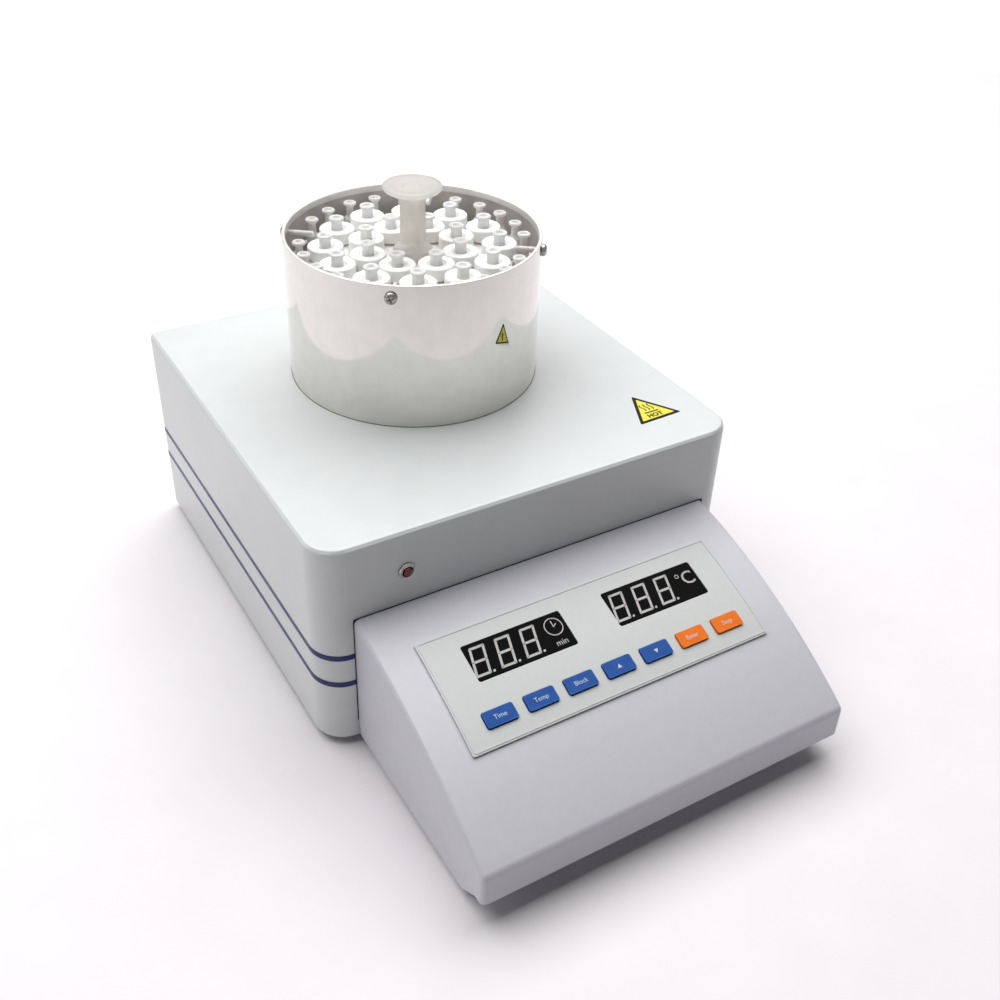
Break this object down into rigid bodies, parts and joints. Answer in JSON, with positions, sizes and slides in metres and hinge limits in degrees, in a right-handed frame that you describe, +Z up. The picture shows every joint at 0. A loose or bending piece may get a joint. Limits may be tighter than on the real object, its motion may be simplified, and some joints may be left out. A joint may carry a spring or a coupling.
{
  "type": "dry block heater",
  "caption": "Lab dry block heater: square housing, round steel-shielded block with capped vials and a lift handle, and a sloping key console in front.",
  "frame": {"origin": "middle of the overall footprint, on the bench under the feet", "axes": "+Z up, -Y towards the operator and the console's lip, +X to the operator's right"},
  "size_m": [0.23, 0.3524, 0.2178],
  "materials": {
    "white_paint": "satin powder coat",
    "console_grey": "fine satin moulded plastic",
    "polished_steel": "polished stainless sheet",
    "screw_steel": "nickel-plated steel",
    "dark_anodised": "dark hard-anodised aluminium",
    "white_polymer": "white fluoropolymer cap with a milky stopper",
    "milky_polymer": "translucent milky polymer",
    "panel_label": "printed polycarbonate label",
    "display_black": "black display face with grey digits",
    "blue_key": "blue moulded key",
    "orange_key": "orange moulded key",
    "red_lens": "dark red lamp lens",
    "nickel": "nickel-plated bezel",
    "black_plastic": "black moulded plastic",
    "rubber": "black rubber",
    "zinc_plate": "zinc-plated sheet",
    "felt": "ceramic fibre felt",
    "silicate": "calcium silicate board",
    "cast_element": "cast heating plate",
    "probe_steel": "stainless sheath",
    "circuit_board": "green solder mask",
    "lamination": "laminated iron and copper"
  },
  "bodies": {
    "root": {"rear_housing": "white_paint", "base_plate": "zinc_plate", "console_shell": "console_grey", "console_base": "console_grey", "heat_shield": "polished_steel", "heater_block": "dark_anodised", "key_panel": "panel_label", "time_display": "display_black", "temperature_display": "display_black", "control_board": "circuit_board", "power_board": "circuit_board", "transformer": "lamination", "indicator_bezel": "nickel", "indicator_lens": "red_lens", "power_inlet": "black_plastic", "switch_frame": "black_plastic", "support_pad": "silicate", "insulation_cup": "felt", "thermal_cutout": "black_plastic", "heating_element": "cast_element", "temperature_probe": "probe_steel", "foot_front_left": "rubber", "foot_front_right": "rubber", "foot_rear_left": "rubber", "foot_rear_right": "rubber", "shield_screw_1": "screw_steel", "shield_screw_2": "screw_steel", "shield_screw_3": "screw_steel", "shield_screw_4": "screw_steel"},
    "key_time_cap": {"key_time": "blue_key"},
    "key_temperature_cap": {"key_temperature": "blue_key"},
    "key_block_cap": {"key_block": "blue_key"},
    "key_up_cap": {"key_up": "blue_key"},
    "key_down_cap": {"key_down": "blue_key"},
    "key_enter_cap": {"key_enter": "orange_key"},
    "key_stop_cap": {"key_stop": "orange_key"},
    "rack": {"tube_rack": "milky_polymer", "lifting_handle": "milky_polymer", "vial_01": "white_polymer", "vial_02": "white_polymer", "vial_03": "white_polymer", "vial_04": "white_polymer", "vial_05": "white_polymer", "vial_06": "white_polymer", "vial_07": "white_polymer", "vial_08": "white_polymer", "vial_09": "white_polymer", "vial_10": "white_polymer", "vial_11": "white_polymer", "vial_12": "white_polymer", "vial_13": "white_polymer", "vial_14": "white_polymer", "vial_15": "white_polymer", "vial_16": "white_polymer", "vial_17": "white_polymer", "vial_18": "white_polymer", "vial_19": "white_polymer", "vial_20": "white_polymer"},
    "rocker": {"power_rocker": "black_plastic"},
    "fuse_carrier": {"fuse_drawer": "black_plastic"}
  },
  "joints": [
    {"name": "key_time_press", "type": "slide", "parent": "root", "child": "key_time_cap", "axis": [0, 0.3356, -0.942], "range_m": [0, 0.0006], "stiffness_N_per_m": 600},
    {"name": "key_temperature_press", "type": "slide", "parent": "root", "child": "key_temperature_cap", "axis": [0, 0.3356, -0.942], "range_m": [0, 0.0006], "stiffness_N_per_m": 600},
    {"name": "key_block_press", "type": "slide", "parent": "root", "child": "key_block_cap", "axis": [0, 0.3356, -0.942], "range_m": [0, 0.0006], "stiffness_N_per_m": 600},
    {"name": "key_up_press", "type": "slide", "parent": "root", "child": "key_up_cap", "axis": [0, 0.3356, -0.942], "range_m": [0, 0.0006], "stiffness_N_per_m": 600},
    {"name": "key_down_press", "type": "slide", "parent": "root", "child": "key_down_cap", "axis": [0, 0.3356, -0.942], "range_m": [0, 0.0006], "stiffness_N_per_m": 600},
    {"name": "key_enter_press", "type": "slide", "parent": "root", "child": "key_enter_cap", "axis": [0, 0.3356, -0.942], "range_m": [0, 0.0006], "stiffness_N_per_m": 600},
    {"name": "key_stop_press", "type": "slide", "parent": "root", "child": "key_stop_cap", "axis": [0, 0.3356, -0.942], "range_m": [0, 0.0006], "stiffness_N_per_m": 600},
    {"name": "rack_lift", "type": "slide", "parent": "root", "child": "rack", "axis": [0, 0, 1], "range_m": [0, 0.12]},
    {"name": "rocker_tilt", "type": "hinge", "parent": "root", "child": "rocker", "pos_m": [0.03, 0.1701, 0.0473], "axis": [1, 0, 0], "range_deg": [0, 16]},
    {"name": "fuse_drawer_slide", "type": "slide", "parent": "root", "child": "fuse_carrier", "axis": [0, 1, 0], "range_m": [0, 0.017]}
  ]
}
